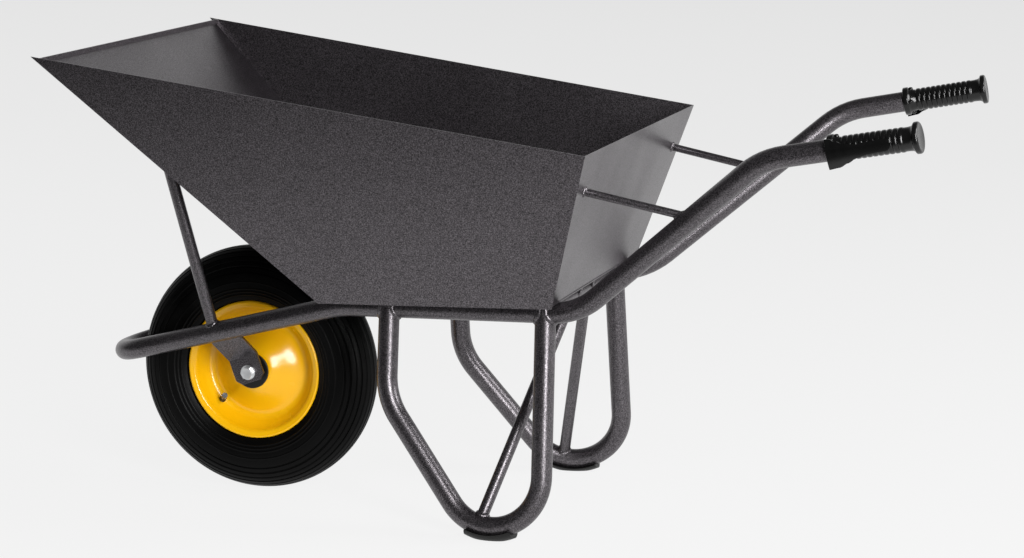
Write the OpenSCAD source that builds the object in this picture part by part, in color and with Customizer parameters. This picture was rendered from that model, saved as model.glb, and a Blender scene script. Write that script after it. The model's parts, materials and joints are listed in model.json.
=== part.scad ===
// Single-wheel barrow: a bent-tube frame, a welded sheet-steel tray, two tube legs and a pneumatic
// wheel. Millimetres. +X runs from the wheel to the handles, +Z is up, and the middle plane is Y = 0.
// Inside this file X = 0 is the wheel's axle. place() then moves the middle of the length to X = 0.

/* [Wheel] */
// Radius of the tyre over its tread
tyre_r = 200; // [195:1:205]
// Width of the tyre over its sidewalls
tyre_w = 89; // [84:1:92]
// Height of the tyre's section, from bead to tread
tyre_section_h = 105; // [102:1:108]
// Radius of the rim over its rolled flanges
rim_r = 113; // [112:0.5:114]
// Half width of the rim over its rolled flanges
rim_half_w = 34.3; // [33:0.1:36]
// Diameter of the steel sleeve that the bearings turn on
sleeve_d = 20; // [18:1:20]
// Thread diameter of the axle bolt
bolt_d = 10; // [10:1:12]
// Radial running clearance between the sleeve and a bearing
running_gap = 0.05; // [0.02:0.01:0.1]

/* [Frame] */
// Outside diameter of the frame tube
tube_d = 32; // [30:0.5:33]
// Wall thickness of the frame tube
tube_wall = 1.8; // [1.2:0.1:2.4]
// Radius of the loop in front of the wheel, on the tube's centre line
nose_bend = 75.5; // [74:0.5:80]
// Where the two rails would meet in front of the loop, ahead of the axle
nose_corner = 524; // [516:1:530]
// Lower bend at the front of the tray floor: behind the axle, out from the middle, above the ground
floor_bend = [200, 153, 335.5]; // [100:0.5:400]
// Bend behind the tray where the handles start to rise
rise_bend = [594, 201, 347]; // [150:0.5:650]
// Bend at the top of the rise, where the grips level out
level_bend = [899, 301, 601]; // [250:0.5:950]
// Outer end of a grip
handle_end = [1127, 314, 640]; // [250:0.5:1150]
// Radii of those three bends, from the tray floor to the grips
rail_bends = [190, 125, 117]; // [90:1:200]

/* [Legs] */
// Outside diameter of the leg tube
leg_d = 32; // [30:0.5:32]
// Distance of the front upright of a leg behind the axle
leg_front = 283; // [275:1:295]
// Distance of the rear upright of a leg behind the axle
leg_rear = 544; // [538:1:548]
// Height of the bend below the front upright
leg_bend_z = 200; // [190:1:210]
// Radius of the round bottom of a leg
leg_foot_bend = 82; // [81:0.5:83]
// Sideways lean of a leg, out per millimetre down
leg_splay = 0.14; // [0.1:0.01:0.16]
// Diameter of the tube from each foot to the cross member
leg_brace_d = 18; // [16:0.5:20]
// Thickness of the wear pad under a foot
pad_t = 6; // [5:0.5:7]

/* [Tray] */
// Thickness of the tray's side, front and rear sheets
sheet_t = 1.5; // [1:0.1:2]
// Thickness of the tray's floor sheet
floor_t = 2; // [1.5:0.1:3]
// Front rim of the tray: ahead of the axle, half width, height
tray_front_top = [219, 347.6, 735]; // [150:0.5:760]
// Rear rim of the tray: behind the axle, half width, height
tray_rear_top = [645, 329, 602.5]; // [300:0.5:680]
// Front edge of the tray floor: behind the axle, half width, height of its underside
floor_front = [190, 230, 352]; // [180:0.5:360]
// Rear edge of the tray floor: behind the axle, height of its underside
floor_rear = [568, 364]; // [360:0.5:580]
// Height of the lip along the front rim
lip_h = 9; // [6:0.5:12]
// Diameter of the two stays from the tray to the handles
stay_d = 12; // [10:0.5:14]
// Diameter of the two struts under the front sheet
strut_d = 18.5; // [16:0.5:20]

/* [Grips] */
// Length of a grip
grip_len = 132; // [125:1:140]
// Outside diameter of a grip over its ribs
grip_d = 36; // [36:0.5:38]
// Diameter of the flange at the end of a grip
grip_flange_d = 46; // [42:1:46]

/* [Hidden] */
$fn = 96;

// Left is the side at -Y, on the left hand of a person between the handles.
LEFT = -1;
RIGHT = 1;
BIG = 3000;
// Gap that parts welded or clamped to each other keep in the model
weld_gap = 0.1;
// Length that a straight stops short of a bend
bend_seam = 0.05;

paint = "#4a474c";
yellow = "#f5a800";
rubber = "#1a1a1c";
plastic = "#202022";
zinc = "#d8dade";

// ---- frame lines
axle_z = tyre_r;
tube_r = tube_d / 2;
front_slope = 0.264;
nose_point = [-nose_corner, 0, floor_bend[2] - front_slope * (nose_corner + floor_bend[0])];
function side_point(p, s) = [p[0], s * p[1], p[2]];
tube_end_gap = 5;
handle_dir = unit(handle_end - level_bend);
tube_end = handle_end - tube_end_gap * handle_dir;
frame_points = [side_point(tube_end, LEFT), side_point(level_bend, LEFT), side_point(rise_bend, LEFT),
    side_point(floor_bend, LEFT), nose_point, side_point(floor_bend, RIGHT),
    side_point(rise_bend, RIGHT), side_point(level_bend, RIGHT), side_point(tube_end, RIGHT)];
frame_bends = [rail_bends[2], rail_bends[1], rail_bends[0], nose_bend, rail_bends[0], rail_bends[1],
    rail_bends[2]];

// Point of the right rail's centre line under the tray, a distance x behind the axle
function rail_at(x) =
    floor_bend + (x - floor_bend[0]) / (rise_bend[0] - floor_bend[0]) * (rise_bend - floor_bend);

// ---- leg lines: a leg lies in a plane that toes out to the rear and splays out downwards
leg_out = 134;
leg_toe = 0.115;
leg_wall = 1.6;
// How far the outer wall of a leg climbs past the middle of the rail
leg_climb = 13;
// Wider gap at the rail, which already starts to bend at the rear of a leg
leg_gap = 0.8;
leg_knee_bend = 106;
leg_corner_z = -144.6;
function leg_y(x, z) = leg_out + leg_toe * x + leg_splay * (340 - z);
function leg_point(x, z, s) = [x, s * leg_y(x, z), z];
function leg_points(s) = [leg_point(leg_front + 1, rail_at(leg_front)[2] + leg_climb, s),
    leg_point(leg_front, leg_bend_z, s), leg_point(leg_rear + 1, leg_corner_z, s),
    leg_point(leg_rear - 1, rail_at(leg_rear)[2] + leg_climb, s)];
leg_bends = [leg_knee_bend, leg_foot_bend];
pad_spread = 23;
// How far below the middle of the leg tube the pad ends
pad_drop = 11;

// ---- cross member and braces
bar_end = rail_at(541);
bar_d = 20;
brace_wall = 1.5;
brace_foot = [443.5, 232, 20];
brace_top = [bar_end[0], 40, bar_end[2]];

// ---- stays and struts
stay_tray = [605, 262.7, 545.3];
stay_rail = [778, 256.6, 508.4];
strut_foot = [-36.5, 101, 272.9];
strut_head = [-86.5, 190, 622];

// ---- tray corners (front top, rear top, floor front) and the outward directions of its planes
rim_slope = (tray_rear_top[2] - tray_front_top[2]) / (tray_rear_top[0] + tray_front_top[0]);
corner_ft = [-tray_front_top[0], tray_front_top[1], tray_front_top[2]];
corner_rt = [tray_rear_top[0], tray_rear_top[1], tray_rear_top[2]];
corner_fb = [floor_front[0], floor_front[1], floor_front[2]];
side_dir = unit(cross(corner_rt - corner_ft, corner_fb - corner_ft));
front_dir = unit([-(corner_ft[2] - corner_fb[2]), 0, corner_ft[0] - corner_fb[0]]);
rear_dir = unit([corner_rt[2] - floor_rear[1], 0, -(corner_rt[0] - floor_rear[0])]);
floor_dir = unit([floor_rear[1] - floor_front[2], 0, -(floor_rear[0] - floor_front[0])]);
rim_dir = unit([-rim_slope, 0, 1]);
// How far the floor's edge stays inside the side sheets' outer faces
floor_edge = 2.2;
// How far a side sheet hangs below the floor's underside at its front and at its rear
skirt = [0.5, 4];
floor_back_gap = 0.1;
floor_front_edge = 1;
rear_gap_h = 9;
flange_h = 22;
flange_end = 14;
flange_inset = 2;
flange_corner = 3;
flange_seam = 0.2;
// The lip's own thickness, and how steeply it stands up from the front sheet
lip_t = 1.9;
lip_lean = 0.25;
lip_seam = 0.4;

// ---- wheel
tyre_c = tyre_r - tyre_section_h / 2;
tread_t = 9;
wall_t = 5;
// The bead: radius on its seat, radius over the rim's flange, outer and inner face from the middle plane
bead_r = 101.9;
bead_top = 113.3;
bead_y = 28.1;
bead_w = 11;
tube_gap = 0.6;
tube_t = 2;
rim_t = 1.8;
rim_lip = 3;
// Outer face of a rim half, from the hub to the flange: radius, and distance from the middle plane
rim_dish = [[26.4, 33], [36, 31.5], [48, 22], [60, 9.5], [68, 3.6], [76, 2], [84, 5], [92, 13],
    [98, 20], [99.8, 24], [99.8, 30], [102, 32.4], [107, 33.2]];
hub_d = 52;
hub_half = 38.5;
bearing_d = 47;
bearing_w = 14;
// Size of the small chamfers on bearings and covers
edge_cut = 1;
cover_d = 58;
cover_t = 3.4;
valve_angle = 139;
valve_r = 88;
valve_up = 6;
valve_tilt = 38;
valve_d = 10.8;
valve_hole = 11.4;
// Outline of the moulded stem along its own line: radius, and place along it
valve_outline = [[0, -5.5], [7.5, -5.5], [7.5, -4.2], [valve_d / 2, -3], [valve_d / 2, 10], [4, 14],
    [2.6, 15], [2.6, 27], [0, 27]];
cap_d = 9;
cap_bore = 5.4;
cap_foot = 17;
cap_h = 13;
cap_roof = 2.8;

// ---- axle brackets and hardware
bracket_y = 50;
bracket_t = 5;
bracket_w = 50;
bracket_lean = 19;
bracket_fold = 28;
bracket_flare = 46;
bracket_run = 64;
bracket_tip = 17;
bracket_cut = 9;
bracket_thin = 2;
// Diameter by which a clearance hole is larger than its bolt, and the small gap between clamped faces
hole_gap = 0.6;
face_gap = 0.05;
washer_t = 2.5;
washer_d = 24;
bolt_tip = 4;
head_root = 0.5;
head_h = 7.5;
nut_h = 10;
hex_af = 17;
hex_d = hex_af / cos(30);

// ---- overall length, for the origin
nose_half_angle = atan(floor_bend[1] * cos(atan(front_slope)) / (nose_corner + floor_bend[0]));
nose_reach = nose_bend / sin(nose_half_angle) - nose_bend;
front_x = -nose_corner + nose_reach * cos(atan(front_slope)) - tube_r;
flange_tip = grip_flange_d / 2 * sqrt(1 - handle_dir[0] * handle_dir[0]);
back_x = handle_end[0] + flange_tip;
mid_x = (front_x + back_x) / 2;

// ---- helpers
function unit(v) = v / norm(v);
function turn(u, v) = acos(unit(u) * unit(v));
function bend_reach(p, i, r) = r * tan(turn(p[i] - p[i - 1], p[i + 1] - p[i]) / 2);

module place() {
    translate([-mid_x, 0, 0]) children();
}

// Puts the children's origin at p and their +Z along dir
module aim(p, dir) {
    z = unit(dir);
    hint = abs(z[2]) > 0.9 ? [1, 0, 0] : [0, 0, 1];
    x = unit(hint - (hint * z) * z);
    y = cross(z, x);
    multmatrix([[x[0], y[0], z[0], p[0]], [x[1], y[1], z[1], p[1]], [x[2], y[2], z[2], p[2]]]) children();
}

// Puts the children in the frame of the bend at point i: its centre, its start along +X, the turn about +Z
module at_bend(p, i, r) {
    u = unit(p[i] - p[i - 1]);
    v = unit(p[i + 1] - p[i]);
    n = unit(v - (v * u) * u);
    x = -n;
    z = cross(x, u);
    c = p[i] - bend_reach(p, i, r) * u + r * n;
    multmatrix([[x[0], u[0], z[0], c[0]], [x[1], u[1], z[1], c[1]], [x[2], u[2], z[2], c[2]]]) children();
}

module ring(d, bore) {
    difference() {
        circle(d = d);
        if (bore > 0) circle(d = bore);
    }
}

// Straight tube or rod from a to b
module rod(a, b, d, bore = 0) {
    aim(a, b - a) linear_extrude(norm(b - a)) ring(d, bore);
}

// Tube through the points p, with a round bend of radius r[i - 1] at each inner point i. The straights stop
// just short of the bends, and a short sleeve inside the wall joins each pair.
module bent_tube(p, r, d, bore) {
    last = len(p) - 1;
    wall = (d - bore) / 2;
    for (i = [0 : last - 1]) {
        u = unit(p[i + 1] - p[i]);
        a = i == 0 ? p[0] : p[i] + (bend_reach(p, i, r[i - 1]) + bend_seam) * u;
        b = i == last - 1 ? p[last] : p[i + 1] - (bend_reach(p, i + 1, r[i]) + bend_seam) * u;
        rod(a, b, d, bore);
    }
    for (i = [1 : last - 1]) {
        sweep = turn(p[i] - p[i - 1], p[i + 1] - p[i]);
        at_bend(p, i, r[i - 1]) {
            rotate_extrude(angle = sweep) translate([r[i - 1], 0]) ring(d, bore);
            for (a = [0, sweep])
                rotate([0, 0, a]) translate([r[i - 1], 0, 0]) rotate([90, 0, 0])
                    linear_extrude(2 * wall, center = true) ring(d - wall, bore - wall);
        }
    }
}

// The half space behind the plane through p, inset along its outward direction
module behind(p, dir, inset = 0) {
    aim(p - inset * dir, -dir) translate([-BIG / 2, -BIG / 2, 0]) cube([BIG, BIG, BIG]);
}

module mirror_side(s) {
    if (s == LEFT) mirror([0, 1, 0]) children();
    else children();
}

// Turns a shape made about Z into one about the axle's Y direction, at the axle
module on_axle() {
    translate([0, 0, axle_z]) rotate([-90, 0, 0]) children();
}

// ---- frame
module frame_tube() {
    color(paint) place() bent_tube(frame_points, frame_bends, tube_d, tube_d - 2 * tube_wall);
}

// The straight rail between two frame bends, as a solid that cuts the tubes welded onto it
module rail_cutter(s, a, b, gap = weld_gap) {
    rod(side_point(a, s), side_point(b, s), tube_d + gap);
}

// The space above the rail's middle on its inner side, where a leg is cut away
module inner_cutter(s) {
    a = side_point(floor_bend, s);
    aim(a, side_point(rise_bend, s) - a) translate([0, s == LEFT ? -BIG : 0, 0]) cube([BIG, BIG, BIG]);
}

module rear_crossbar() {
    color(paint) place() difference() {
        rod(side_point(bar_end, LEFT), side_point(bar_end, RIGHT), bar_d, bar_d - 2 * brace_wall);
        for (s = [LEFT, RIGHT]) {
            p = leg_points(s);
            rail_cutter(s, floor_bend, rise_bend);
            rod(p[2], p[3], leg_d + weld_gap);
        }
    }
}

// ---- legs
module leg(s) {
    color(paint) place() difference() {
        bent_tube(leg_points(s), leg_bends, leg_d, leg_d - 2 * leg_wall);
        rail_cutter(s, floor_bend, rise_bend, leg_gap);
        inner_cutter(s);
    }
}

// A shoe under the round bottom of a leg, cut flat where it stands on the ground
module foot_pad(s) {
    p = leg_points(s);
    whole = turn(p[2] - p[1], p[3] - p[2]);
    down = turn(p[2] - p[1], [1, 0, 0]);
    color(rubber) place() difference() {
        at_bend(p, 2, leg_foot_bend)
            rotate([0, 0, down - pad_spread])
                rotate_extrude(angle = min(2 * pad_spread, whole))
                    translate([leg_foot_bend, 0]) difference() {
                        circle(d = leg_d + 2 * pad_t);
                        circle(d = leg_d + weld_gap);
                        translate([pad_drop - BIG, -BIG / 2]) square([BIG, BIG]);
                    }
        translate([-BIG / 2, -BIG / 2, -BIG]) cube([BIG, BIG, BIG]);
    }
}

module leg_brace(s) {
    p = leg_points(s);
    color(paint) place() difference() {
        rod(side_point(brace_foot, s), side_point(brace_top, s), leg_brace_d, leg_brace_d - 2 * brace_wall);
        at_bend(p, 2, leg_foot_bend)
            rotate_extrude(angle = turn(p[2] - p[1], p[3] - p[2]))
                translate([leg_foot_bend, 0]) circle(d = leg_d + weld_gap);
        rod(side_point(bar_end, LEFT), side_point(bar_end, RIGHT), bar_d + weld_gap);
    }
}

// ---- struts and stays
module front_strut(s) {
    color(paint) place() difference() {
        rod(side_point(strut_foot, s), side_point(strut_head, s), strut_d, strut_d - 2 * brace_wall);
        rail_cutter(s, nose_point, floor_bend);
        behind(corner_ft, front_dir, -weld_gap);
    }
}

module rear_stay(s) {
    color(paint) place() difference() {
        rod(side_point(stay_tray, s), side_point(stay_rail, s), stay_d);
        rail_cutter(s, rise_bend, level_bend);
        behind(corner_rt, rear_dir, -weld_gap);
    }
}

// ---- axle brackets: a flat bar, upright at the hub and folded outwards up to the rail
module axle_bracket(s) {
    color(paint) place() difference() {
        translate([0, 0, axle_z]) rotate([0, -bracket_lean, 0]) difference() {
            intersection() {
                rotate([90, 0, 90]) linear_extrude(bracket_w, center = true) bracket_section(s);
                rotate([90, 0, 0]) linear_extrude(BIG, center = true) bracket_outline();
            }
            rotate([90, 0, 0]) cylinder(h = BIG, d = bolt_d + hole_gap, center = true);
        }
        rail_cutter(s, nose_point, floor_bend);
    }
}

// Seen from the front: across the barrow and up the bar
module bracket_section(s) {
    out = [sin(bracket_flare), cos(bracket_flare)];
    side = [cos(bracket_flare), -sin(bracket_flare)];
    fold = [bracket_y, bracket_fold];
    face = bracket_y + bracket_t;
    end = fold + bracket_run * out;
    scale([s, 1]) polygon([[bracket_y, -2 * bracket_tip], [face, -2 * bracket_tip],
        [face, bracket_fold - bracket_thin], end + bracket_t * side, end, fold]);
}

// Seen from the side: along the barrow and up the bar, with its lower corners cut off
module bracket_outline() {
    w = bracket_w / 2;
    top = bracket_fold + bracket_run;
    shoulder = bracket_cut - bracket_tip;
    polygon([[-w, shoulder], [bracket_cut - w, -bracket_tip], [w - bracket_cut, -bracket_tip],
        [w, shoulder], [w, top], [-w, top]]);
}

// ---- tray
// The space inside the four slanted tray planes, each moved inwards by its own inset
module tray_block(side_in = 0, front_in = 0, rear_in = 0, floor_in = 0, rim_in = 0) {
    intersection() {
        behind(corner_ft, side_dir, side_in);
        mirror([0, 1, 0]) behind(corner_ft, side_dir, side_in);
        behind(corner_ft, front_dir, front_in);
        behind(corner_rt, rear_dir, rear_in);
        behind(corner_fb, floor_dir, floor_in);
        behind(corner_ft, rim_dir, rim_in);
    }
}

module tray_side(s) {
    front = corner_fb - [0, 0, skirt[0]];
    rear = [floor_rear[0], 0, floor_rear[1] - skirt[1]];
    skirt_dir = unit([rear[2] - front[2], 0, front[0] - rear[0]]);
    color(paint) place() mirror_side(s) difference() {
        intersection() {
            tray_block(floor_in = -2 * skirt[1]);
            behind(front, skirt_dir);
        }
        behind(corner_ft, side_dir, sheet_t);
    }
}

module tray_floor() {
    half_rear = corner_fb[1] + (floor_rear[0] - corner_fb[0]) * side_rise() - floor_edge;
    front = corner_fb[0] - floor_front_edge;
    rear = floor_rear[0] - floor_back_gap;
    color(paint) place() {
        intersection() {
            behind(corner_fb, floor_dir, 0);
            aim(corner_fb - floor_t * floor_dir, floor_dir)
                translate([-BIG / 2, -BIG / 2, 0]) cube([BIG, BIG, BIG]);
            linear_extrude(BIG) polygon([[front, floor_edge - corner_fb[1]], [rear, -half_rear],
                [rear, half_rear], [front, corner_fb[1] - floor_edge]]);
        }
        rear_flange(half_rear - flange_inset);
    }
}

// How fast the floor's half width grows towards the rear, from the side sheet's own plane
function side_rise() = -(side_dir[0] + side_dir[2] * (floor_rear[1] - corner_fb[2])
    / (floor_rear[0] - corner_fb[0])) / side_dir[1];

// The floor's upturned rear edge, inside the rear sheet and showing below it
module rear_flange(half) {
    base = [floor_rear[0], 0, floor_rear[1]];
    up = unit([corner_rt[0] - floor_rear[0], 0, corner_rt[2] - floor_rear[1]]);
    x = -up;
    z = rear_dir;
    y = cross(z, x);
    o = base - (2 * sheet_t) * rear_dir;
    multmatrix([[x[0], y[0], z[0], o[0]], [x[1], y[1], z[1], o[1]], [x[2], y[2], z[2], o[2]]])
        linear_extrude(sheet_t) polygon([[-flange_h, -half + flange_end], [-flange_h + flange_corner, -half],
            [-flange_seam, -half], [-flange_seam, half], [-flange_h + flange_corner, half],
            [-flange_h, half - flange_end]]);
}

module tray_front() {
    color(paint) place() {
        difference() {
            tray_block(sheet_t + weld_gap, 0, sheet_t, floor_t + 2 * weld_gap, lip_h);
            behind(corner_ft, front_dir, sheet_t);
        }
        front_lip();
    }
}

// A narrow lip that stands up from the top of the front sheet
module front_lip() {
    foot = corner_ft - lip_h / (rim_dir * unit(corner_ft - corner_fb)) * unit(corner_ft - corner_fb);
    dir = unit([-1, 0, lip_lean]);
    difference() {
        intersection() {
            tray_block(sheet_t + weld_gap, 0, sheet_t, floor_t);
            behind(foot, dir);
        }
        behind(foot, dir, lip_t);
        behind(corner_ft, rim_dir, lip_h + lip_seam);
    }
}

module tray_rear() {
    color(paint) place() difference() {
        tray_block(sheet_t + weld_gap, sheet_t, 0, rear_gap_h, 0);
        behind(corner_rt, rear_dir, sheet_t - weld_gap);
    }
}

// ---- axle hardware
module axle_bolt() {
    head = bracket_y + bracket_t + washer_t;
    tip = head + nut_h + bolt_tip;
    color(zinc) place() on_axle() {
        translate([0, 0, -head - head_h]) cylinder(h = head_h, d = hex_d, $fn = 6);
        translate([0, 0, -head - head_root]) cylinder(h = head_root + head + tip, d = bolt_d);
    }
}

module axle_nut() {
    seat = bracket_y + bracket_t + washer_t + face_gap;
    color(zinc) place() on_axle() difference() {
        translate([0, 0, seat]) cylinder(h = nut_h, d = hex_d, $fn = 6);
        cylinder(h = BIG, d = bolt_d + 2 * face_gap);
    }
}

module axle_washers() {
    seat = bracket_y + bracket_t + face_gap;
    color(zinc) place() on_axle() for (m = [0, 1]) mirror([0, 0, m])
        translate([0, 0, seat]) linear_extrude(washer_t - 2 * face_gap) ring(washer_d, bolt_d + hole_gap);
}

module axle_sleeve() {
    color(zinc) place() on_axle() linear_extrude(2 * (bracket_y - face_gap), center = true)
        ring(sleeve_d, bolt_d + hole_gap);
}

// ---- wheel, turned about Z and then laid on the axle
module tyre() {
    color(rubber) place() on_axle() rotate_extrude() tyre_section();
}

// Point of an ellipse about the middle of the tyre's section
function section_point(a, b, t) = [tyre_c + b * cos(t), a * sin(t)];

module tyre_section() {
    w = tyre_w / 2;
    h = tyre_section_h / 2;
    lip = 128;
    outer = [for (t = [-lip : 8 : lip]) section_point(w, h, t)];
    inner = [for (t = [144 : -12 : -144]) section_point(w - wall_t, h - tread_t, t)];
    bead = [[bead_top, bead_y], [bead_r, bead_y], [bead_r, bead_y - bead_w]];
    polygon(concat(outer, bead, inner, [for (i = [2 : -1 : 0]) [bead[i][0], -bead[i][1]]]));
}

module inner_tube() {
    w = tyre_w / 2 - wall_t - tube_gap;
    h = tyre_section_h / 2 - tread_t - tube_gap;
    color(rubber) place() on_axle() rotate_extrude() difference() {
        polygon([for (t = [0 : 12 : 348]) section_point(w, h, t)]);
        polygon([for (t = [0 : 12 : 348]) section_point(w - tube_t, h - tube_t, t)]);
    }
}

// Half of the pressed rim: disc, well, bead seat and rolled flange, as a sheet of even thickness
module rim_half(s) {
    middle = [rim_r - rim_lip, rim_half_w - rim_lip];
    roll = [for (a = [120 : -24 : -144]) middle + rim_lip * [cos(a), sin(a)]];
    back = [for (i = [len(rim_dish) - 2 : -1 : 0]) rim_dish[i] + rim_t * sheet_normal(rim_dish, i)];
    color(yellow) place() on_axle() mirror([0, 0, s == LEFT ? 1 : 0]) difference() {
        rotate_extrude() polygon(concat(rim_dish, roll, back));
        if (s == LEFT) valve_line() cylinder(h = 2 * bead_w, d = valve_hole, center = true);
    }
}

// Direction across the sheet at point i of its outline, towards the tyre
function sheet_normal(p, i) =
    let (a = p[max(i - 1, 0)], b = p[min(i + 1, len(p) - 1)], d = unit(b - a)) [d[1], -d[0]];

module hub_tube() {
    color(yellow) place() on_axle() difference() {
        cylinder(h = 2 * hub_half, d = hub_d, center = true);
        cylinder(h = BIG, d = bearing_d - 5, center = true);
        for (m = [0, 1]) mirror([0, 0, m])
            translate([0, 0, hub_half - bearing_w - 0.5]) cylinder(h = BIG, d = bearing_d + 0.04);
    }
}

module bearing(s) {
    color(zinc) place() on_axle() mirror([0, 0, s == LEFT ? 1 : 0])
        translate([0, 0, hub_half - bearing_w - 0.4]) rotate_extrude() {
            bore = sleeve_d / 2 + running_gap;
            edge = bearing_d / 2;
            far = bearing_w - edge_cut;
            polygon([[bore, edge_cut], [bore + edge_cut, 0], [edge - edge_cut, 0], [edge, edge_cut],
                [edge, far], [edge - edge_cut, bearing_w], [bore + edge_cut, bearing_w], [bore, far]]);
        }
}

module bearing_cover(s) {
    color(plastic) place() on_axle() mirror([0, 0, s == LEFT ? 1 : 0])
        translate([0, 0, hub_half + 0.1]) rotate_extrude() {
            bore = sleeve_d / 2 + 1.5;
            edge = cover_d / 2;
            polygon([[bore, 0], [edge, 0], [edge, cover_t - edge_cut], [edge - edge_cut, cover_t],
                [bore, cover_t]]);
        }
}

// The valve's own line, in the left rim half's frame: leaning from the well towards the hub
module valve_line() {
    rotate([0, 0, valve_angle]) translate([valve_r, 0, valve_up]) rotate([0, -valve_tilt, 0]) children();
}

module valve_stem() {
    color(rubber) place() on_axle() mirror([0, 0, 1]) valve_line() rotate_extrude() polygon(valve_outline);
}

module valve_cap() {
    color(plastic) place() on_axle() mirror([0, 0, 1]) valve_line() difference() {
        translate([0, 0, cap_foot]) cylinder(h = cap_h, d = cap_d);
        cylinder(h = cap_foot + cap_h - cap_roof, d = cap_bore);
    }
}

// ---- grips: a ribbed sleeve with a collar, an end flange and a guard on its outer side
module grip(s) {
    color(plastic) place() aim(side_point(handle_end, s), -side_point(handle_dir, s)) difference() {
        union() {
            rotate_extrude() grip_outline();
            grip_guard(s);
        }
        translate([0, 0, tube_end_gap]) cylinder(h = BIG, d = tube_d + hole_gap);
    }
}

module grip_outline() {
    ribs = 11;
    rib_pitch = 8.1;
    rib_first = 24;
    rib_w = 5;
    flange_t = 8;
    collar_d = 45;
    collar_w = 9;
    square([grip_d / 2 - 1, grip_len]);
    square([grip_flange_d / 2, flange_t]);
    translate([0, grip_len - collar_w]) square([collar_d / 2, collar_w]);
    for (i = [0 : ribs - 1]) translate([0, rib_first + i * rib_pitch]) square([grip_d / 2, rib_w]);
}

// A panel along the grip that widens towards the front to keep the knuckles off a wall
module grip_guard(s) {
    inner = grip_d / 2 - 5;
    outer = grip_d / 2 + 4;
    panel_half = 12;
    guard_top = 18.5;
    guard_bottom = -26.5;
    panel_len = 92;
    flare_len = 45;
    corner = 6;
    mirror([0, s == LEFT ? 1 : 0, 0]) translate([0, outer, 0]) rotate([90, 0, 0])
        linear_extrude(outer - inner) polygon([[guard_bottom, grip_len], [guard_bottom, grip_len - corner],
            [-panel_half, grip_len - flare_len], [-panel_half, grip_len - panel_len + corner],
            [-panel_half + corner, grip_len - panel_len], [panel_half - corner, grip_len - panel_len],
            [panel_half, grip_len - panel_len + corner], [panel_half, grip_len - flare_len],
            [guard_top, grip_len - corner], [guard_top, grip_len]]);
}

frame_tube();
rear_crossbar();
leg(LEFT);  // leg_left
leg(RIGHT);  // leg_right
foot_pad(LEFT);  // foot_pad_left
foot_pad(RIGHT);  // foot_pad_right
leg_brace(LEFT);  // leg_brace_left
leg_brace(RIGHT);  // leg_brace_right
front_strut(LEFT);  // front_strut_left
front_strut(RIGHT);  // front_strut_right
rear_stay(LEFT);  // rear_stay_left
rear_stay(RIGHT);  // rear_stay_right
axle_bracket(LEFT);  // axle_bracket_left
axle_bracket(RIGHT);  // axle_bracket_right
tray_floor();
tray_front();
tray_rear();
tray_side(LEFT);  // tray_side_left
tray_side(RIGHT);  // tray_side_right
axle_bolt();
axle_nut();
axle_washers();
axle_sleeve();
grip(LEFT);  // grip_left
grip(RIGHT);  // grip_right
tyre();
inner_tube();
rim_half(LEFT);  // rim_left
rim_half(RIGHT);  // rim_right
hub_tube();
bearing(LEFT);  // bearing_left
bearing(RIGHT);  // bearing_right
bearing_cover(LEFT);  // bearing_cover_left
bearing_cover(RIGHT);  // bearing_cover_right
valve_stem();
valve_cap();
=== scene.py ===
"""Looks of a single-wheel barrow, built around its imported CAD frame.

Everything is in metres, in the frame's axes. Points that go through at() are in millimetres,
with X measured back from the wheel's axle.
"""

import json
import math

import bpy
from mathutils import Matrix, Vector, noise


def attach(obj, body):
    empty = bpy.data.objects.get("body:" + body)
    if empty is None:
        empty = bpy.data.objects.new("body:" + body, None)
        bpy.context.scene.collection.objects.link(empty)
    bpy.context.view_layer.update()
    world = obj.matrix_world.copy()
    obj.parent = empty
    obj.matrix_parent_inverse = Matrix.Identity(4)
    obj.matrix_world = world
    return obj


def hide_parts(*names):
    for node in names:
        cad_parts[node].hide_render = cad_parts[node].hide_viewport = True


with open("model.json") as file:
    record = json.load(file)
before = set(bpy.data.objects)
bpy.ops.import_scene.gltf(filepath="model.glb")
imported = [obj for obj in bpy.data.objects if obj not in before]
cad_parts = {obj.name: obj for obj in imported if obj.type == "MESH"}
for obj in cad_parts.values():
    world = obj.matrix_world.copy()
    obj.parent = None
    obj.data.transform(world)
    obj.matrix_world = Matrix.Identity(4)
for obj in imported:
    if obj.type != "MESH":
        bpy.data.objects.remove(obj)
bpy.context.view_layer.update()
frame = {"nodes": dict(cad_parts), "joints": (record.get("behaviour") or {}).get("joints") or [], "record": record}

AXLE = Vector(frame["joints"][0]["pos_m"])
MM = 0.001
LEFT, RIGHT = -1, 1
SIDES = ((LEFT, "left"), (RIGHT, "right"))


def at(x, y, z):
    """A point given in millimetres: behind the axle, out from the middle plane, above the ground."""
    return Vector((AXLE.x + x * MM, y * MM, z * MM))


# ---------------------------------------------------------------- camera, floor and light

CAMERA_BEHIND, CAMERA_OUT, CAMERA_UP = 1806.5, -4417.0, 1163.8
YAW, PITCH, ROLL = -17.66, -9.14, -0.851
LENS = 104.76
SHIFT = (0.0181, -0.0363)
VIEW_DEPTH = 200


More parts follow.
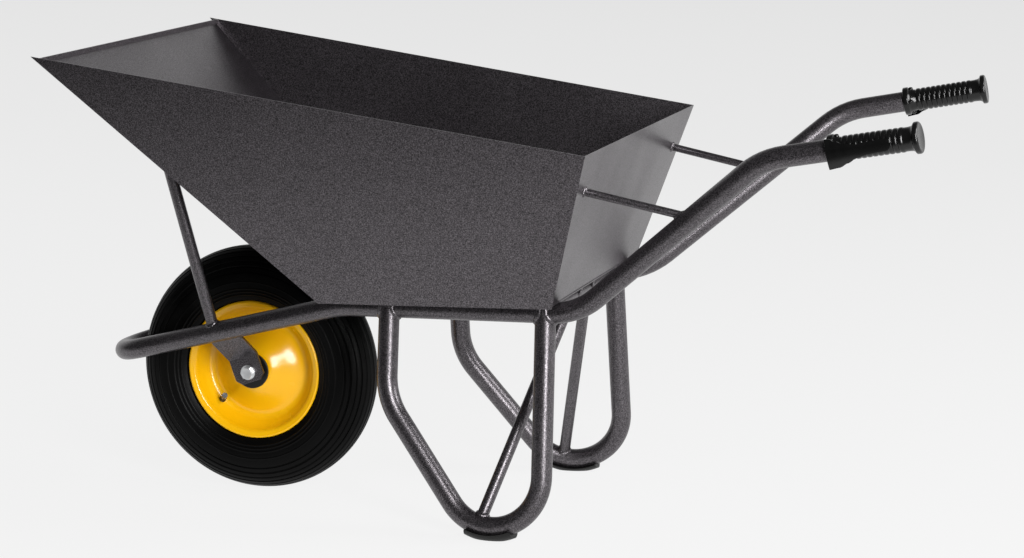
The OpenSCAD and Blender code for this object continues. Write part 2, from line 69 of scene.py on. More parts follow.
def add_camera():
    """The camera: yaw turns it from +Y towards +X, pitch raises it, roll leans it over."""
    yaw, pitch, roll = (math.radians(a) for a in (YAW, PITCH, ROLL))
    forward = Vector((math.sin(yaw) * math.cos(pitch), math.cos(yaw) * math.cos(pitch), math.sin(pitch)))
    right = forward.cross(Vector((0, 0, 1))).normalized()
    up = right.cross(forward)
    right, up = (
        math.cos(roll) * right + math.sin(roll) * up,
        math.cos(roll) * up - math.sin(roll) * right,
    )
    data = bpy.data.cameras.new("camera")
    data.lens = LENS
    data.shift_x, data.shift_y = SHIFT
    data.clip_end = VIEW_DEPTH
    camera = bpy.data.objects.new("camera", data)
    bpy.context.scene.collection.objects.link(camera)
    camera.matrix_world = Matrix.Translation(at(CAMERA_BEHIND, CAMERA_OUT, CAMERA_UP)) @ (
        Matrix((right, up, -forward)).transposed().to_4x4()
    )
    bpy.context.scene.camera = camera


def add_area_light(name, place, target, size, power):
    """A white rectangular light at a place, aimed at the target; size in metres, power in watts."""
    data = bpy.data.lights.new(name, "AREA")
    data.shape = "RECTANGLE"
    data.size, data.size_y = size
    data.energy = power
    light = bpy.data.objects.new(name, data)
    bpy.context.scene.collection.objects.link(light)
    light.location = place
    light.rotation_euler = (target - place).to_track_quat("-Z", "Y").to_euler()


FLOOR_GREY = 0.05
FLOOR_HALF = 60
# Just under the ground, so that the tyre and the shoes never share a plane with it.
FLOOR_DROP = 0.0005
# The line on the floor where the main camera's view begins: its Y at x = 0 and its slope along X.
VIEW_EDGE_SLOPE, VIEW_EDGE_Y = -0.2, -0.74
# Brightness of the floor by distance behind that line: (metres, brightness)
FLOOR_NEAR = ((-0.75, 0.02), (-0.5, 0.1), (-0.25, 0.42), (-0.02, 0.86))
FLOOR_FAR = ((2.0, 0.84), (5.0, 0.8), (12.0, 0.75))
# The brightness table runs over this many metres, the first of them in front of the line.
FLOOR_SPAN = 16.0


def add_floor():
    """A floor that glows evenly where the main camera sees it and falls dark in front of that.

    The dark part stands for the studio's flags, and other views show it as a dark floor.
    """
    material, nodes, links = new_material("floor")
    shader = nodes["Principled BSDF"]
    shader.inputs["Base Color"].default_value = (FLOOR_GREY, FLOOR_GREY, FLOOR_GREY, 1)
    shader.inputs["Specular IOR Level"].default_value = 0.0
    shader.inputs["Roughness"].default_value = 1.0
    place = nodes.new("ShaderNodeTexCoord")
    split = nodes.new("ShaderNodeSeparateXYZ")
    links.new(place.outputs["Object"], split.inputs[0])
    slant = math_node(nodes, links, "MULTIPLY_ADD", split.outputs["X"], -VIEW_EDGE_SLOPE, -VIEW_EDGE_Y)
    behind = math_node(nodes, links, "ADD", split.outputs["Y"], slant)
    share = math_node(nodes, links, "MULTIPLY_ADD", behind, 1 / FLOOR_SPAN, 1 / FLOOR_SPAN)
    table = (*FLOOR_NEAR, *FLOOR_FAR)
    stops = [((distance + 1) / FLOOR_SPAN, grey(glow)) for distance, glow in table]
    links.new(ramp_of(nodes, links, share, stops), shader.inputs["Emission Color"])
    shader.inputs["Emission Strength"].default_value = 1.0
    mesh = bpy.data.meshes.new("floor")
    h = FLOOR_HALF
    mesh.from_pydata([(-h, -h, 0), (h, -h, 0), (h, h, 0), (-h, h, 0)], [], [(0, 1, 2, 3)])
    mesh.materials.append(material)
    floor = bpy.data.objects.new("floor", mesh)
    bpy.context.scene.collection.objects.link(floor)
    floor.location.z = -FLOOR_DROP


SKY_FRONT, SKY_BACK, SKY_TOP = 0.06, 0.85, 0.1
# How far towards the back the sky reaches full brightness, and between which heights it turns dark.
SKY_FULL, SKY_DIM_FROM, SKY_DIM_TO = 0.55, 0.3, 0.75


def add_world():
    """A studio that is bright behind the barrow, and dark overhead and on the main camera's side."""
    world = bpy.data.worlds.new("studio")
    bpy.context.scene.world = world
    world.use_nodes = True
    nodes, links = world.node_tree.nodes, world.node_tree.links
    place = nodes.new("ShaderNodeTexCoord")
    split = nodes.new("ShaderNodeSeparateXYZ")
    links.new(place.outputs["Generated"], split.inputs[0])
    depth = [(0.0, grey(SKY_FRONT)), (SKY_FULL, grey(SKY_BACK))]
    along = ramp_of(nodes, links, split.outputs["Y"], depth)
    height = [(SKY_DIM_FROM, grey(0)), (SKY_DIM_TO, grey(1))]
    overhead = ramp_of(nodes, links, split.outputs["Z"], height)
    mix = nodes.new("ShaderNodeMix")
    mix.data_type = "RGBA"
    links.new(overhead, mix.inputs["Factor"])
    links.new(along, mix.inputs["A"])
    mix.inputs["B"].default_value = (SKY_TOP, SKY_TOP, SKY_TOP, 1)
    links.new(mix.outputs["Result"], nodes["Background"].inputs["Color"])


# ---------------------------------------------------------------- materials


def new_material(name):
    """A material with its nodes and links; its shader is the Principled BSDF that comes with it."""
    material = bpy.data.materials.new(name)
    material.use_nodes = True
    return material, material.node_tree.nodes, material.node_tree.links


def mapped_noise(nodes, links, scale, detail, rough):
    """Noise that is fixed to the piece; scale is in cells per metre."""
    place = nodes.new("ShaderNodeTexCoord")
    texture = nodes.new("ShaderNodeTexNoise")
    texture.inputs["Scale"].default_value = scale
    texture.inputs["Detail"].default_value = detail
    texture.inputs["Roughness"].default_value = rough
    links.new(place.outputs["Object"], texture.inputs["Vector"])
    return texture.outputs["Fac"]


def math_node(nodes, links, operation, value, *others):
    """Arithmetic on a value; the others are nodes' outputs or plain numbers."""
    node = nodes.new("ShaderNodeMath")
    node.operation = operation
    links.new(value, node.inputs[0])
    for slot, other in zip(node.inputs[1:], others):
        if isinstance(other, (int, float)):
            slot.default_value = other
        else:
            links.new(other, slot)
    return node.outputs[0]


def ramp_of(nodes, links, value, stops):
    """A colour looked up by a value in a list of (position, colour) stops."""
    ramp = nodes.new("ShaderNodeValToRGB")
    elements = ramp.color_ramp.elements
    while len(elements) < len(stops):
        elements.new(0.5)
    for element, (position, colour) in zip(elements, stops):
        element.position = position
        element.color = (*colour, 1)
    links.new(value, ramp.inputs[0])
    return ramp.outputs[0]


def bump(nodes, links, height, strength, distance):
    node = nodes.new("ShaderNodeBump")
    node.inputs["Strength"].default_value = strength
    node.inputs["Distance"].default_value = distance
    links.new(height, node.inputs["Height"])
    return node.outputs[0]


def grey(value):
    return (value, value, value)


# Colours of the ground and of the flakes in the hammered paint, on the tray and on the tubes
TRAY_GROUND, TRAY_FLAKE = (0.002, 0.0017, 0.0019), (0.03, 0.026, 0.03)
TUBE_GROUND, TUBE_FLAKE = (0.002, 0.0018, 0.002), (0.03, 0.027, 0.03)
FLAKE_TINT = (1.0, 0.93, 0.99, 1)
PAINT_IOR = 1.9
YELLOW_DEEP, YELLOW_PALE = (0.81, 0.415, 0.0014), (0.84, 0.455, 0.0018)


def cloudy_gloss(nodes, links, cloud, low, high):
    """A roughness that drifts between two values in large soft patches."""
    gloss = ramp_of(nodes, links, cloud, [(0.3, grey(low)), (0.7, grey(high))])
    links.new(gloss, nodes["Principled BSDF"].inputs["Roughness"])


def hammered_paint(name, dark, light, grain, roughness, relief):
    """Hammered enamel: a dark ground with fine lighter flakes, small dimples and a hard gloss."""
    material, nodes, links = new_material(name)
    shader = nodes["Principled BSDF"]
    specks = mapped_noise(nodes, links, grain, 2.0, 0.6)
    middle = [0.4 * a + 0.6 * b for a, b in zip(light, dark)]
    colour = ramp_of(nodes, links, specks, [(0.4, dark), (0.55, middle), (0.68, light)])
    links.new(colour, shader.inputs["Base Color"])
    glints = [(0.36, grey(0.22)), (0.5, grey(0.46)), (0.66, grey(0.8))]
    flake = ramp_of(nodes, links, specks, glints)
    links.new(flake, shader.inputs["Specular IOR Level"])
    cloud = mapped_noise(nodes, links, 6.0, 2.0, 0.5)
    cloudy_gloss(nodes, links, cloud, roughness - 0.04, roughness + 0.05)
    dimples = mapped_noise(nodes, links, grain * 0.7, 2.0, 0.5)
    links.new(bump(nodes, links, dimples, 0.6, relief), shader.inputs["Normal"])
    shader.inputs["IOR"].default_value = PAINT_IOR
    shader.inputs["Specular Tint"].default_value = FLAKE_TINT
    return material


def gloss_enamel(name):
    """Golden yellow enamel, with a little orange peel."""
    material, nodes, links = new_material(name)
    shader = nodes["Principled BSDF"]
    cloud = mapped_noise(nodes, links, 14.0, 3.0, 0.6)
    colour = ramp_of(nodes, links, cloud, [(0.3, YELLOW_DEEP), (0.7, YELLOW_PALE)])
    links.new(colour, shader.inputs["Base Color"])
    cloudy_gloss(nodes, links, cloud, 0.2, 0.28)
    peel = mapped_noise(nodes, links, 260.0, 1.0, 0.4)
    links.new(bump(nodes, links, peel, 0.15, 0.0002), shader.inputs["Normal"])
    shader.inputs["Specular IOR Level"].default_value = 0.35
    shader.inputs["Coat Weight"].default_value = 0.25
    shader.inputs["Coat Roughness"].default_value = 0.1
    return material


def rubber(name, base, roughness, grain, shine=0.5, dust=0.0):
    """Moulded black rubber or plastic with a fine grain and a trace of dust."""
    material, nodes, links = new_material(name)
    shader = nodes["Principled BSDF"]
    cloud = mapped_noise(nodes, links, 9.0, 4.0, 0.6)
    dusty = [(0.35, grey(base)), (0.75, grey(base * 1.5 + dust))]
    colour = ramp_of(nodes, links, cloud, dusty)
    links.new(colour, shader.inputs["Base Color"])
    cloudy_gloss(nodes, links, cloud, roughness - 0.06, roughness + 0.08)
    shader.inputs["Specular IOR Level"].default_value = shine
    fine = mapped_noise(nodes, links, grain, 2.0, 0.6)
    links.new(bump(nodes, links, fine, 0.25, 0.0003), shader.inputs["Normal"])
    return material


def plated_steel(name, colour, roughness):
    """Zinc plate: bright, slightly cloudy, with faint turning marks."""
    material, nodes, links = new_material(name)
    shader = nodes["Principled BSDF"]
    shader.inputs["Metallic"].default_value = 1.0
    cloud = mapped_noise(nodes, links, 90.0, 3.0, 0.6)
    tint = ramp_of(nodes, links, cloud, [(0.3, [c * 0.82 for c in colour]), (0.7, colour)])
    links.new(tint, shader.inputs["Base Color"])
    cloudy_gloss(nodes, links, cloud, roughness - 0.08, roughness + 0.08)
    fine = mapped_noise(nodes, links, 900.0, 2.0, 0.5)
    links.new(bump(nodes, links, fine, 0.1, 0.0001), shader.inputs["Normal"])
    return material


def make_materials():
    """One material for each material slot in the record."""
    return {
        "tray_paint": hammered_paint("tray_paint", TRAY_GROUND, TRAY_FLAKE, 560, 0.34, 0.00025),
        "frame_paint": hammered_paint("frame_paint", TUBE_GROUND, TUBE_FLAKE, 600, 0.34, 0.00028),
        "rim_paint": gloss_enamel("rim_paint"),
        "tyre_rubber": rubber("tyre_rubber", 0.001, 0.4, 700, 0.08, 0.0006),
        "tube_rubber": rubber("tube_rubber", 0.006, 0.5, 500),
        "pad_rubber": rubber("pad_rubber", 0.003, 0.45, 500, 0.25),
        "grip_plastic": rubber("grip_plastic", 0.002, 0.2, 800, 0.42),
        "cover_plastic": rubber("cover_plastic", 0.004, 0.35, 800, 0.4),
        "zinc": plated_steel("zinc", (0.93, 0.94, 0.95), 0.42),
        "bearing_steel": plated_steel("bearing_steel", (0.6, 0.61, 0.63), 0.25),
    }


# ---------------------------------------------------------------- mesh helpers


def add_piece(name, verts, faces, slot, body, sharp=40):
    """A closed mesh that rides on a body and is finished as its slot says."""
    mesh = bpy.data.meshes.new(name)
    mesh.from_pydata([tuple(v) for v in verts], [], faces)
    mesh.validate()
    mesh.materials.append(materials[slot])
    mesh.shade_smooth()
    mesh.set_sharp_from_angle(angle=math.radians(sharp))
    piece = bpy.data.objects.new(name, mesh)
    bpy.context.scene.collection.objects.link(piece)
    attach(piece, body)
    return piece


def grid_faces(rows, columns, wrap_rows=True, wrap_columns=True, first=0):
    """Quads between points laid out row by row, joined round where a direction wraps."""
    faces = []
    for i in range(rows if wrap_rows else rows - 1):
        for j in range(columns if wrap_columns else columns - 1):
            a, b = i * columns, ((i + 1) % rows) * columns
            k = (j + 1) % columns
            faces.append((first + a + j, first + b + j, first + b + k, first + a + k))
    return faces


def revolve(name, section, steps, slot, body, sharp=40, frame_of=None):
    """Turns a closed section of (radius, along) pairs about the axle, or about the +Z of frame_of."""
    verts = []
    for i in range(steps):
        turn = 2 * math.pi * i / steps
        for radius, along in section:
            x, y = radius * math.cos(turn), radius * math.sin(turn)
            if frame_of is None:
                verts.append(AXLE + Vector((x, along, y)))
            else:
                verts.append(frame_of @ Vector((x, y, along)))
    return add_piece(name, verts, grid_faces(steps, len(section)), slot, body, sharp)


def smooth_line(points, steps):
    """Catmull-Rom curve through the points, with steps pieces between each two."""
    ends = [2 * points[0] - points[1], *points, 2 * points[-1] - points[-2]]
    line = []
    for a, b, c, d in zip(ends, ends[1:], ends[2:], ends[3:]):
        for k in range(steps):
            t = k / steps
            square, cube = 2 * a - 5 * b + 4 * c - d, 3 * b - a - 3 * c + d
            line.append(0.5 * (2 * b + (c - a) * t + square * t * t + cube * t**3))
    return [*line, points[-1]]


def arc(middle, radius, start, end, steps):
    """Points of an arc in a section, from angle start to angle end in degrees."""
    return [
        (
            middle[0] + radius * math.cos(math.radians(start + (end - start) * k / steps)),
            middle[1] + radius * math.sin(math.radians(start + (end - start) * k / steps)),
        )
        for k in range(steps + 1)
    ]


def line_frame(origin, direction, up=Vector((0, 0, 1))):
    """A frame at origin with +Z along direction, +X as near up as it can be."""
    z = direction.normalized()
    x = (up - up.dot(z) * z).normalized()
    y = z.cross(x)
    matrix = Matrix((x, y, z)).transposed().to_4x4()
    matrix.translation = origin
    return matrix


# ---------------------------------------------------------------- wheel

TYRE_R, TYRE_HALF_W, TYRE_SECTION_H = 0.2, 0.0444, 0.105
TYRE_TREAD_T, TYRE_WALL_T = 0.009, 0.005
# The skin is drawn this much inside the plain oval, so that it never passes the CAD tyre.
SKIN_INSET = 0.0001
# Angles round the tyre's section, in degrees from the tread's middle
BEAD_ANGLE = 128
INNER_ANGLE, INNER_STEP = 144, 12
BEAD_R, BEAD_TOP, BEAD_Y, BEAD_W = 0.1019, 0.1133, 0.0281, 0.011
TREAD_EDGE = 80
GROOVES = 15
GROOVE_DEPTH, GROOVE_SHARE = 0.0017, 0.3
# Raised rings on each sidewall: (angle, height in metres, half width in degrees)
SIDEWALL_RINGS = ((92, 0.0007, 1.2), (104, 0.0009, 1.6), (110, 0.0009, 1.6), (116, 0.0009, 1.6))
TYRE_STEPS = 200


def tread_relief(angle):
    """How far the tyre's skin stands off its plain oval at an angle from the tread's middle, in degrees."""
    off = abs(angle)
    relief = 0.0
    if off < TREAD_EDGE:
        pitch = 2 * TREAD_EDGE / GROOVES
        place = abs(((angle / pitch + 0.5) % 1) - 0.5)
        depth = max(0.0, 1 - place / (GROOVE_SHARE / 2))
        relief -= GROOVE_DEPTH * min(1, 2 * depth)
    for middle, height, width in SIDEWALL_RINGS:
        relief += height * max(0.0, 1 - abs(off - middle) / width)
    return relief


def add_tyre():
    """A tyre with ribs all round the tread and rings on the sidewalls, closed along its beads."""
    high, wide = TYRE_SECTION_H / 2, TYRE_HALF_W
    centre = TYRE_R - high
    section = []
    for k in range(-BEAD_ANGLE, BEAD_ANGLE + 1):
        angle = math.radians(k)
        grow = tread_relief(k) - SKIN_INSET
        section.append((centre + (high + grow) * math.cos(angle), (wide + grow) * math.sin(angle)))
    inner = []
    for k in range(INNER_ANGLE, -INNER_ANGLE - 1, -INNER_STEP):
        x, y = math.cos(math.radians(k)), math.sin(math.radians(k))
        inner.append((centre + (high - TYRE_TREAD_T) * x, (wide - TYRE_WALL_T) * y))
    bead = [(BEAD_TOP, BEAD_Y), (BEAD_R, BEAD_Y), (BEAD_R, BEAD_Y - BEAD_W)]
    section += [*bead, *inner, *[(r, -y) for r, y in reversed(bead)]]
    tyre = revolve("tyre_ribbed", section, TYRE_STEPS, "tyre_rubber", "wheel", sharp=35)
    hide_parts("tyre")


RIM_R, RIM_HALF_W, RIM_SHEET, RIM_LIP = 0.113, 0.0343, 0.0018, 0.003
# The dish from the hub out to the lip, in millimetres: (radius, distance out from the wheel's middle)
RIM_DISH = (
    *((26.4, 33.2), (31, 32), (38, 27.6), (46, 21.8), (54, 15.8), (62, 10.3), (69, 6.3)),
    *((75, 4.0), (81, 4.0), (86.5, 6.8), (91, 12), (95, 17.5), (98.4, 23.5), (100.6, 28.2)),
    *((103.4, 31.4), (107, 33)),
)
DISH_STEPS = 5
LIP_FROM, LIP_TO, LIP_STEPS = 115, -140, 14
RIM_STEPS = 160


def add_rims():
    """Each half of the pressed rim: a smooth dish of even sheet that ends in a rolled flange."""
    run = smooth_line([Vector(p) * MM for p in RIM_DISH], DISH_STEPS)
    lip_middle = (RIM_R - RIM_LIP, RIM_HALF_W - RIM_LIP)
    roll = arc(lip_middle, RIM_LIP, LIP_FROM, LIP_TO, LIP_STEPS)
    back = []
    for i in range(len(run) - 2, -1, -1):
        ahead, behind = run[min(i + 1, len(run) - 1)], run[max(i - 1, 0)]
        along = (ahead - behind).normalized()
        back.append(tuple(run[i] + RIM_SHEET * Vector((along.y, -along.x))))
    section = [*[tuple(p) for p in run], *roll, *back]
    for side, word in SIDES:
        facing = [(r, side * y) for r, y in section]
        rim = revolve("rim_dish_" + word, facing, RIM_STEPS, "rim_paint", "wheel", sharp=60)
        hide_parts("rim_" + word)


# ---------------------------------------------------------------- welds

# Corners of the frame tube's middle line, on the right side
NOSE_CORNER, FLOOR_BEND, RISE_BEND = (-524, 0, 144.4), (200, 153, 335.5), (594, 201, 347)
RAIL_R, LEG_R, BRACE_R, BAR_R, STRUT_R, STAY_R = 0.016, 0.016, 0.009, 0.01, 0.00925, 0.006
BEAD_STEPS, BEAD_SPOKES = 120, 10
# A bead's section against its size: how high and how wide it lies
BEAD_RISE, BEAD_SPREAD = 0.75, 1.15
RIPPLE_PITCH, RIPPLE = 0.0026, 0.1
WANDER_GRAIN, WANDER = 90, 0.22
# How much a bead leans back over its own bar
BEAD_LEAN = 0.7


def mirrored(point, side):
    """A point of the right side in millimetres, on the side asked for."""
    return at(point[0], side * point[1], point[2])


def off_line(a, b, radius):
    """How far a point is outside a round bar along the line through a and b."""
    along = (b - a).normalized()
    return lambda p: ((p - a) - along * (p - a).dot(along)).length - radius


def off_plane(through, outward):
    """How far a point is outside a sheet's outer face."""
    outward = outward.normalized()
    return lambda p: (p - through).dot(outward)


def below_top(distance, top):
    """How far a point is from a surface, or from the height where its own bar ends if that comes first."""
    return lambda p: min(distance(p), top - p.z)


# The search for a weld's path goes this many times as far as the bar's own end.
SEARCH_REACH = 1.6
SEARCH_STEPS, HALVINGS = 60, 30


def meeting(distance, start, direction, reach):
    """Where a line first comes to a surface, searched in even steps and then by halving."""
    low = 0.0
    for k in range(1, SEARCH_STEPS + 1):
        high = reach * k / SEARCH_STEPS
        if distance(start + direction * high) <= 0:
            break
        low = high
    for _ in range(HALVINGS):
        middle = 0.5 * (low + high)
        if distance(start + direction * middle) > 0:
            low = middle
        else:
            high = middle
    return start + direction * high


def add_bead(name, path, outs, size):
    """A weld bead round a closed path, with the overlapping ripples that the arc leaves."""
    lengths = [0.0]
    for a, b in zip(path, path[1:]):
        lengths.append(lengths[-1] + (b - a).length)
    verts = []
    count = len(path)
    for i, (point, out) in enumerate(zip(path, outs)):
        along = (path[(i + 1) % count] - path[i - 1]).normalized()
        out = (out - along * out.dot(along)).normalized()
        across = along.cross(out)
        ripple = 1 + RIPPLE * abs(math.sin(math.pi * lengths[i] / RIPPLE_PITCH))
        wander = 1 + WANDER * noise.noise(point * WANDER_GRAIN)
        radius = size * ripple * wander
        for j in range(BEAD_SPOKES):
            turn = 2 * math.pi * j / BEAD_SPOKES
            x, y = BEAD_RISE * math.cos(turn), BEAD_SPREAD * math.sin(turn)
            verts.append(point + radius * (x * out + y * across))
    add_piece(name, verts, grid_faces(count, BEAD_SPOKES), "frame_paint", "barrow")


def add_ring_weld(name, start, toward, radius, distance, size):
    """The bead round a bar of this radius that runs from start towards what it is welded to."""
    direction = (toward - start).normalized()
    up = Vector((0, 0, 1)) if abs(direction.z) < 0.9 else Vector((1, 0, 0))
    frame_of_bar = line_frame(start, direction, up)
    x, y = (Vector(frame_of_bar.col[k][:3]) for k in (0, 1))
    path, outs = [], []
    reach = SEARCH_REACH * (toward - start).length
    for i in range(BEAD_STEPS):
        turn = 2 * math.pi * i / BEAD_STEPS
        out = math.cos(turn) * x + math.sin(turn) * y
        path.append(meeting(distance, start + radius * out, direction, reach))
        outs.append(out - BEAD_LEAN * direction)
    add_bead(name, path, outs, size)


def rail_at(x, side):
    """The middle of the level rail at this x."""
    share = (x - FLOOR_BEND[0]) / (RISE_BEND[0] - FLOOR_BEND[0])
    return mirrored([a + share * (b - a) for a, b in zip(FLOOR_BEND, RISE_BEND)], side)


# The plane of a leg: how far out it is at x = 0, its toe-out, its splay, and the height of that measure
LEG_PLANE = (134, 0.115, 0.14, 340)
# X of each upright at two heights, and how far the leg goes on above the rail's middle
LEG_FRONT, LEG_REAR = (283, 284), (545, 543)
LEG_LOW, LEG_HIGH = 230, 345
LEG_CLIMB = 0.0115
FOOT_CENTRE, FOOT_BEND_R = (466, 18.8), 0.082
BRACE_FOOT, BRACE_TOP = (443.5, 232, 20), (541, 40, 345.5)
CROSSBAR_X = 541
STRUT_FOOT, STRUT_HEAD = (-36.5, 101, 272.9), (-86.5, 190, 622)
STAY_TRAY, STAY_RAIL = (605, 262.7, 545.3), (778, 256.6, 508.4)
# A point on the front and on the rear sheet, and which way each sheet faces
FRONT_TOP, FRONT_FACING = (-219, 0, 735), (-0.6835, 0, -0.7299)
REAR_TOP, REAR_FACING = (645, 0, 602.5), (0.9516, 0, -0.3072)


def leg_at(x, z, side):
    """The point of a leg's plane at this x and height."""
    out, toe, splay, level = LEG_PLANE
    return at(x, side * (out + toe * x + splay * (level - z)), z)


def add_welds():
    """A bead at every place where a leg, strut, stay, brace or crossbar meets a rail or a sheet."""
    front_sheet = off_plane(at(*FRONT_TOP), Vector(FRONT_FACING))
    rear_sheet = off_plane(at(*REAR_TOP), Vector(REAR_FACING))
    crossbar = off_line(rail_at(CROSSBAR_X, LEFT), rail_at(CROSSBAR_X, RIGHT), BAR_R)
    for side, word in SIDES:
        nose, floor, rise, level = (
            mirrored(corner, side) for corner in (NOSE_CORNER, FLOOR_BEND, RISE_BEND, LEVEL_BEND)
        )
        rail = off_line(floor, rise, RAIL_R)
        for place, (low, high) in (("front", LEG_FRONT), ("rear", LEG_REAR)):
            start, end = leg_at(low, LEG_LOW, side), leg_at(high, LEG_HIGH, side)
            joint = below_top(rail, rail_at(high, side).z + LEG_CLIMB)
            add_ring_weld(f"weld_leg_{place}_{word}", start, end, LEG_R, joint, 0.0034)
        strut_foot, strut_head = mirrored(STRUT_FOOT, side), mirrored(STRUT_HEAD, side)
        front_rail = off_line(nose, floor, RAIL_R)
        add_ring_weld("weld_strut_foot_" + word, strut_head, strut_foot, STRUT_R, front_rail, 0.0028)
        add_ring_weld("weld_strut_head_" + word, strut_foot, strut_head, STRUT_R, front_sheet, 0.0026)
        stay_tray, stay_rail = mirrored(STAY_TRAY, side), mirrored(STAY_RAIL, side)
        grip_rail = off_line(rise, level, RAIL_R)
        add_ring_weld("weld_stay_rail_" + word, stay_tray, stay_rail, STAY_R, grip_rail, 0.0028)
        add_ring_weld("weld_stay_tray_" + word, stay_rail, stay_tray, STAY_R, rear_sheet, 0.003)
        brace_foot, brace_top = mirrored(BRACE_FOOT, side), mirrored(BRACE_TOP, side)
        add_ring_weld("weld_brace_top_" + word, brace_foot, brace_top, BRACE_R, crossbar, 0.0028)
        add_ring_weld("weld_brace_foot_" + word, brace_top, brace_foot, BRACE_R, off_foot(side), 0.003)
        bar_middle, bar_end = at(CROSSBAR_X, 0, BRACE_TOP[2]), rail_at(CROSSBAR_X, side)
        add_ring_weld("weld_bar_" + word, bar_middle, bar_end, BAR_R, rail, 0.0028)


def off_foot(side):
    """How far a point is outside the round bottom of a leg."""
    centre = leg_at(*FOOT_CENTRE, side)
    beside = leg_at(FOOT_CENTRE[0] + 50, FOOT_CENTRE[1], side) - centre
    below = leg_at(FOOT_CENTRE[0], FOOT_CENTRE[1] - 50, side) - centre
    normal = beside.cross(below).normalized()
    middle = centre - below.normalized() * FOOT_BEND_R

    def distance(p):
        flat = (p - middle) - normal * (p - middle).dot(normal)
        nearest = middle + flat.normalized() * FOOT_BEND_R
        return (p - nearest).length - LEG_R

    return distance


# ---------------------------------------------------------------- grips

HANDLE_END, LEVEL_BEND = (1127, 314, 640), (899, 301, 601)
GRIP_LEN, GRIP_R = 0.132, 0.018
RIBS, RIB_PITCH, RIB_FIRST, RIB_RISE = 11, 0.0081, 0.0235, 0.001
# Each rib takes this share of its pitch; the groove after it is a little deeper than the rib's foot.
RIB_SHARE, GROOVE_PLACE, GROOVE_DROP = 0.8, 0.9, 0.0006
RIB_STEPS, RIB_FLATNESS = 8, 0.45
FLANGE_R, FLANGE_T, FLANGE_EDGE = 0.0229, 0.008, 0.003
COLLAR_R, COLLAR_W = 0.0222, 0.009
INNER_EDGE = 0.0018
GRIP_BORE, GRIP_CAP = 0.0163, 0.0052
# The outline starts and ends just off the grip's own middle line.
PIN_R = 0.0005
GRIP_STEPS = 64


def grip_frame(side):
    """At the outer end of a grip, with +Z towards the wheel, +X up and +Y to the right."""
    end, bend = (at(p[0], side * p[1], p[2]) for p in (HANDLE_END, LEVEL_BEND))
    return line_frame(end, bend - end)


def grip_section():
    """Outline of the grip's round body: end cap, flange, ribs, collar, and back along the bore."""
    outline = [(PIN_R, 0.0012), (0.012, 0.001), (0.017, 0.0004), (0.0195, 0.0)]
    outline += arc((FLANGE_R - FLANGE_EDGE, FLANGE_EDGE), FLANGE_EDGE, -80, 0, 6)
    outline += arc((FLANGE_R - INNER_EDGE, FLANGE_T - INNER_EDGE), INNER_EDGE, 0, 80, 4)
    outline += [(0.0195, FLANGE_T + 0.0008), (0.0178, FLANGE_T + 0.004)]
    outline += [(0.0172, FLANGE_T + 0.009), (0.0171, 0.0215)]
    rib_foot = GRIP_R - RIB_RISE
    for i in range(RIBS):
        start = RIB_FIRST + i * RIB_PITCH
        for k in range(RIB_STEPS + 1):
            share = k / RIB_STEPS
            rise = RIB_RISE * math.sin(math.pi * share) ** RIB_FLATNESS
            outline.append((rib_foot + rise, start + share * RIB_PITCH * RIB_SHARE))
        outline.append((rib_foot - GROOVE_DROP, start + RIB_PITCH * GROOVE_PLACE))
    last = GRIP_LEN - COLLAR_W
    outline += [(0.0176, last - 0.0055), (0.0182, last - 0.003)]
    outline += arc((COLLAR_R - 0.0025, last + 0.0022), 0.0025, -75, 0, 4)
    outline += arc((COLLAR_R - INNER_EDGE, GRIP_LEN - INNER_EDGE), INNER_EDGE, 0, 90, 4)
    outline += [(GRIP_BORE, GRIP_LEN), (GRIP_BORE, GRIP_CAP), (PIN_R, GRIP_CAP)]
    return outline


# The guard is a shell of this length and thickness, in millimetres, that ends in a round nose.
GUARD_LEN, GUARD_SHEET, GUARD_NOSE = 92, 3.4, 9.0
GUARD_ROWS, GUARD_COLUMNS = 36, 18
# How strongly the guard curls round the grip
GUARD_CURL = 0.275
# Upper edge, lower edge and stand-off against the place along the guard, all in millimetres
GUARD_TOP = ((0, 18), (6, 17.5), (14, 13), (26, 8), (42, 5.2), (60, 6), (74, 7.4), (92, 7.6))
GUARD_FOOT = (
    *((0, -26), (15, -25), (27, -20.5), (42, -14.5), (58, -11.5)),
    *((74, -10.5), (92, -10.2)),
)
GUARD_STAND = ((0, 26), (10, 25), (24, 23.4), (40, 22.4), (60, 22), (92, 21.6))


def along_table(table, place):
    """Value at a place in a short table of (place, value) pairs, blended smoothly between them."""
    for (a, low), (b, high) in zip(table, table[1:]):
        if place <= b:
            share = max(0.0, (place - a) / (b - a))
            share = share * share * (3 - 2 * share)
            return low + (high - low) * share
    return table[-1][1]


def guard_point(place, share, lift):
    """Point of the guard in the grip's frame, from its place along and its share of the way up."""
    top, foot = along_table(GUARD_TOP, place), along_table(GUARD_FOOT, place)
    round_from = GUARD_LEN - GUARD_NOSE
    if place > round_from:
        shrink = math.sqrt(max(0.0, 1 - ((place - round_from) / GUARD_NOSE) ** 2))
        middle = 0.5 * (top + foot)
        top, foot = (middle + (v - middle) * shrink for v in (top, foot))
    stand = along_table(GUARD_STAND, place) - lift
    high = foot + (top - foot) * share
    out = stand - GUARD_CURL * (high / stand) ** 2 * stand
    return Vector((high * MM, out * MM, GRIP_LEN - place * MM))


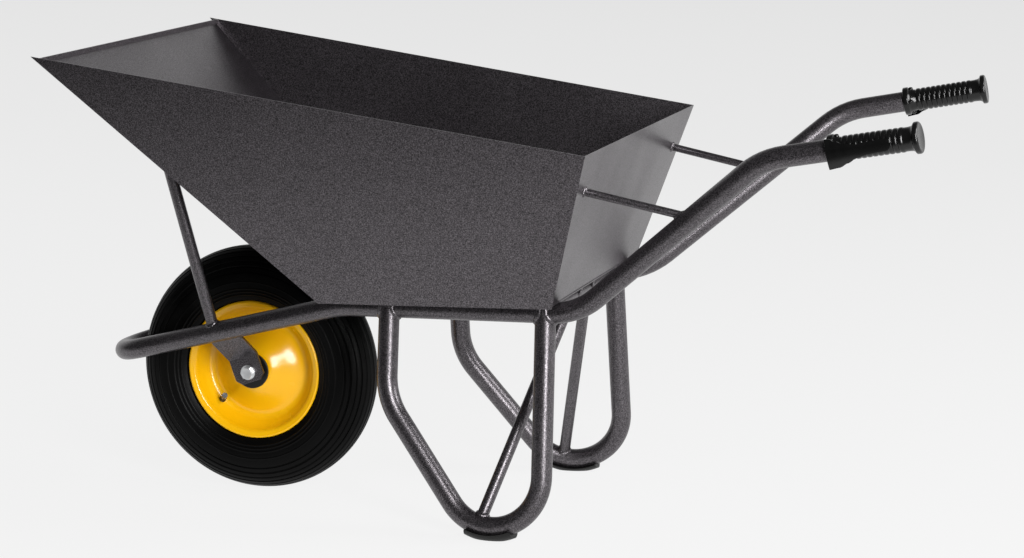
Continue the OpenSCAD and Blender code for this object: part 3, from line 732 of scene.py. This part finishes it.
def add_guard(side, word, place):
    """The guard that stands beside a grip's collar: an outer and an inner skin, joined round the edge."""
    rows, columns = GUARD_ROWS, GUARD_COLUMNS
    verts = []
    for lift in (0.0, GUARD_SHEET):
        for i in range(rows):
            for j in range(columns):
                point = guard_point(GUARD_LEN * i / (rows - 1) * 0.999, j / (columns - 1), lift)
                point.y *= side
                verts.append(place @ point)
    size = rows * columns
    faces = grid_faces(rows, columns, False, False)
    faces += [tuple(size + v for v in reversed(f)) for f in faces]
    edge = list(range(columns))
    edge += [i * columns + columns - 1 for i in range(1, rows)]
    edge += [(rows - 1) * columns + j for j in range(columns - 2, -1, -1)]
    edge += [i * columns for i in range(rows - 2, 0, -1)]
    for a, b in zip(edge, edge[1:] + edge[:1]):
        faces.append((b, a, a + size, b + size))
    if side == RIGHT:
        faces = [tuple(reversed(f)) for f in faces]
    guard = add_piece("grip_guard_" + word, verts, faces, "grip_plastic", "barrow", sharp=50)
    bevel = guard.modifiers.new("edge", "BEVEL")
    bevel.width, bevel.segments, bevel.limit_method = 0.0006, 2, "ANGLE"


NUB_R, NUB_OUT, NUB_BACK = 0.0034, 0.0182, 0.0035
NUB_LENGTH = 1.25
NUB_RINGS, NUB_SPOKES = 7, 12


def add_nubs(side, word, place):
    """Small moulded lugs round the neck behind the collar."""
    verts, faces = [], []
    rings, spokes = NUB_RINGS, NUB_SPOKES
    along = Vector((0, 0, 1))
    for turn in (0, 180, 90 * -side):
        angle = math.radians(turn)
        out = Vector((math.cos(angle), math.sin(angle), 0))
        across = Vector((-out.y, out.x, 0))
        middle = out * NUB_OUT + along * (GRIP_LEN - COLLAR_W - NUB_BACK)
        first = len(verts)
        for i in range(1, rings):
            tilt = math.pi * i / rings
            for j in range(spokes):
                spin = 2 * math.pi * j / spokes
                flat = math.cos(spin) * across + NUB_LENGTH * math.sin(spin) * along
                verts.append(place @ (middle + NUB_R * (math.cos(tilt) * out + math.sin(tilt) * flat)))
        faces += grid_faces(rings - 1, spokes, False, True, first)
        verts += [place @ (middle + NUB_R * out), place @ (middle - NUB_R * out)]
        near, far = len(verts) - 2, len(verts) - 1
        base = first + (rings - 2) * spokes
        for j in range(spokes):
            k = (j + 1) % spokes
            faces.append((near, first + j, first + k))
            faces.append((far, base + k, base + j))
    add_piece("grip_lugs_" + word, verts, faces, "grip_plastic", "barrow")


def add_grips():
    """The round body, the guard and the lugs of each grip."""
    for side, word in SIDES:
        place = grip_frame(side)
        grip = revolve("grip_body_" + word, grip_section(), GRIP_STEPS, "grip_plastic", "barrow", 45, place)
        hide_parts("grip_" + word)
        add_guard(side, word, place)
        add_nubs(side, word, place)


# ---------------------------------------------------------------- putting it together


def finish_cad_nodes():
    """Every CAD part that stays gets its slot's material."""
    slots = {row["node"]: row["material_slot"] for row in frame["record"]["subparts"]}
    for name, node in frame["nodes"].items():
        node.data.materials.clear()
        node.data.materials.append(materials[slots[name]])


add_camera()
materials = make_materials()
add_floor()
add_world()
add_area_light("key", at(2300, -2500, 1250), at(250, 0, 400), (0.75, 2.4), 140)
add_area_light("side", at(4200, 300, 2200), at(300, 0, 400), (1.6, 2.2), 150)
bpy.context.scene.view_settings.view_transform = "Standard"
add_tyre()
add_rims()
add_grips()
add_welds()
finish_cad_nodes()
